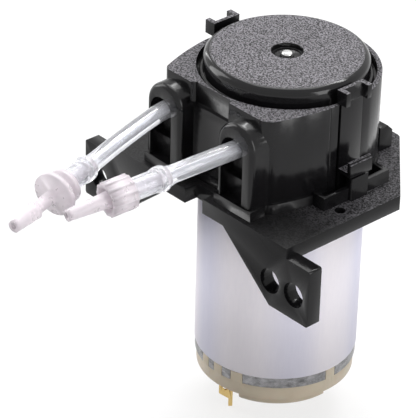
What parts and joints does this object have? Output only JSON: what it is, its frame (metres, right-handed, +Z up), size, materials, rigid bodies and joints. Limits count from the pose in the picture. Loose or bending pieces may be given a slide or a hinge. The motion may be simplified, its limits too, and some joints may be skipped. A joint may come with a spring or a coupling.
{
  "type": "peristaltic pump head",
  "caption": "Small peristaltic pump head: roller rotor squeezes a tube loop in a clipped-down housing on a drilled bracket, driven by a DC motor, with barbed tube ends.",
  "frame": {"origin": "on the motor shaft's axis, in the plane of the bracket plate's underside, where the motor seats", "axes": "+Z up the shaft from motor to head; -Y out of the tube ports and normal to the bracket's mounting face; +X towards the outlet side"},
  "size_m": [0.0542, 0.0759, 0.0675],
  "materials": {
    "black_moulding": "fine spark texture on top faces, satin sides",
    "black_cap": "glossy rounded shoulder, finely textured top",
    "white_nylon": "satin",
    "steel": "ground",
    "can_steel": "zinc plated",
    "core_steel": "laminated",
    "brass": "bright",
    "bronze": "sintered, oiled",
    "copper": "enamelled",
    "ferrite": "matt",
    "carbon": "matt",
    "foil": "satin foil wrap",
    "cream_plastic": "satin",
    "silicone": "clear, slightly bluish",
    "clear_plastic": "translucent"
  },
  "bodies": {
    "pump_frame": {"base_bracket": "black_moulding", "head_housing": "black_moulding", "cap": "black_cap", "pump_tube": "silicone", "outlet_fitting": "clear_plastic", "inlet_fitting": "clear_plastic", "motor_can": "can_steel", "motor_label": "foil", "motor_end_cap": "cream_plastic", "terminal_1": "brass", "terminal_2": "brass", "front_bearing": "bronze", "rear_bearing": "bronze", "magnet_1": "ferrite", "magnet_2": "ferrite", "brush_1": "carbon", "brush_2": "carbon", "motor_screws": "steel"},
    "armature": {"motor_shaft": "steel", "drive_sleeve": "brass", "armature_core": "core_steel", "armature_windings": "copper", "commutator": "copper"},
    "rotor_carrier": {"carrier_lower": "white_nylon", "carrier_upper": "white_nylon", "roller_pin_1": "steel", "roller_pin_2": "steel", "roller_pin_3": "steel"},
    "roller_a": {"roller_1": "white_nylon"},
    "roller_b": {"roller_2": "white_nylon"},
    "roller_c": {"roller_3": "white_nylon"},
    "left_latch": {"latch_left": "black_moulding"},
    "right_latch": {"latch_right": "black_moulding"}
  },
  "joints": [
    {"name": "motor_spin", "type": "hinge", "parent": "pump_frame", "child": "armature", "pos_m": [0, 0, 0], "axis": [0, 0, 1], "continuous": true},
    {"name": "carrier_spin", "type": "hinge", "parent": "pump_frame", "child": "rotor_carrier", "pos_m": [0, 0, 0.014], "axis": [0, 0, 1], "continuous": true},
    {"name": "roller_a_spin", "type": "hinge", "parent": "rotor_carrier", "child": "roller_a", "pos_m": [0.0066, 0, 0.0139], "axis": [0, 0, 1], "continuous": true},
    {"name": "roller_b_spin", "type": "hinge", "parent": "rotor_carrier", "child": "roller_b", "pos_m": [-0.0033, 0.00572, 0.0139], "axis": [0, 0, 1], "continuous": true},
    {"name": "roller_c_spin", "type": "hinge", "parent": "rotor_carrier", "child": "roller_c", "pos_m": [-0.0033, -0.00572, 0.0139], "axis": [0, 0, 1], "continuous": true},
    {"name": "right_latch_squeeze", "type": "hinge", "parent": "pump_frame", "child": "right_latch", "pos_m": [0.01445, 0, 0.0126], "axis": [0, -1, 0], "range_deg": [0, 2.5], "stiffness_Nm_per_rad": 0.6},
    {"name": "left_latch_squeeze", "type": "hinge", "parent": "pump_frame", "child": "left_latch", "pos_m": [-0.01445, 0, 0.0126], "axis": [0, 1, 0], "range_deg": [0, 2.5], "stiffness_Nm_per_rad": 0.6}
  ],
  "couplings": [
    {"joint": "carrier_spin", "follows": "motor_spin", "ratio": 0.15909},
    {"joint": "roller_a_spin", "follows": "motor_spin", "ratio": -0.39242},
    {"joint": "roller_b_spin", "follows": "motor_spin", "ratio": -0.39242},
    {"joint": "roller_c_spin", "follows": "motor_spin", "ratio": -0.39242}
  ]
}
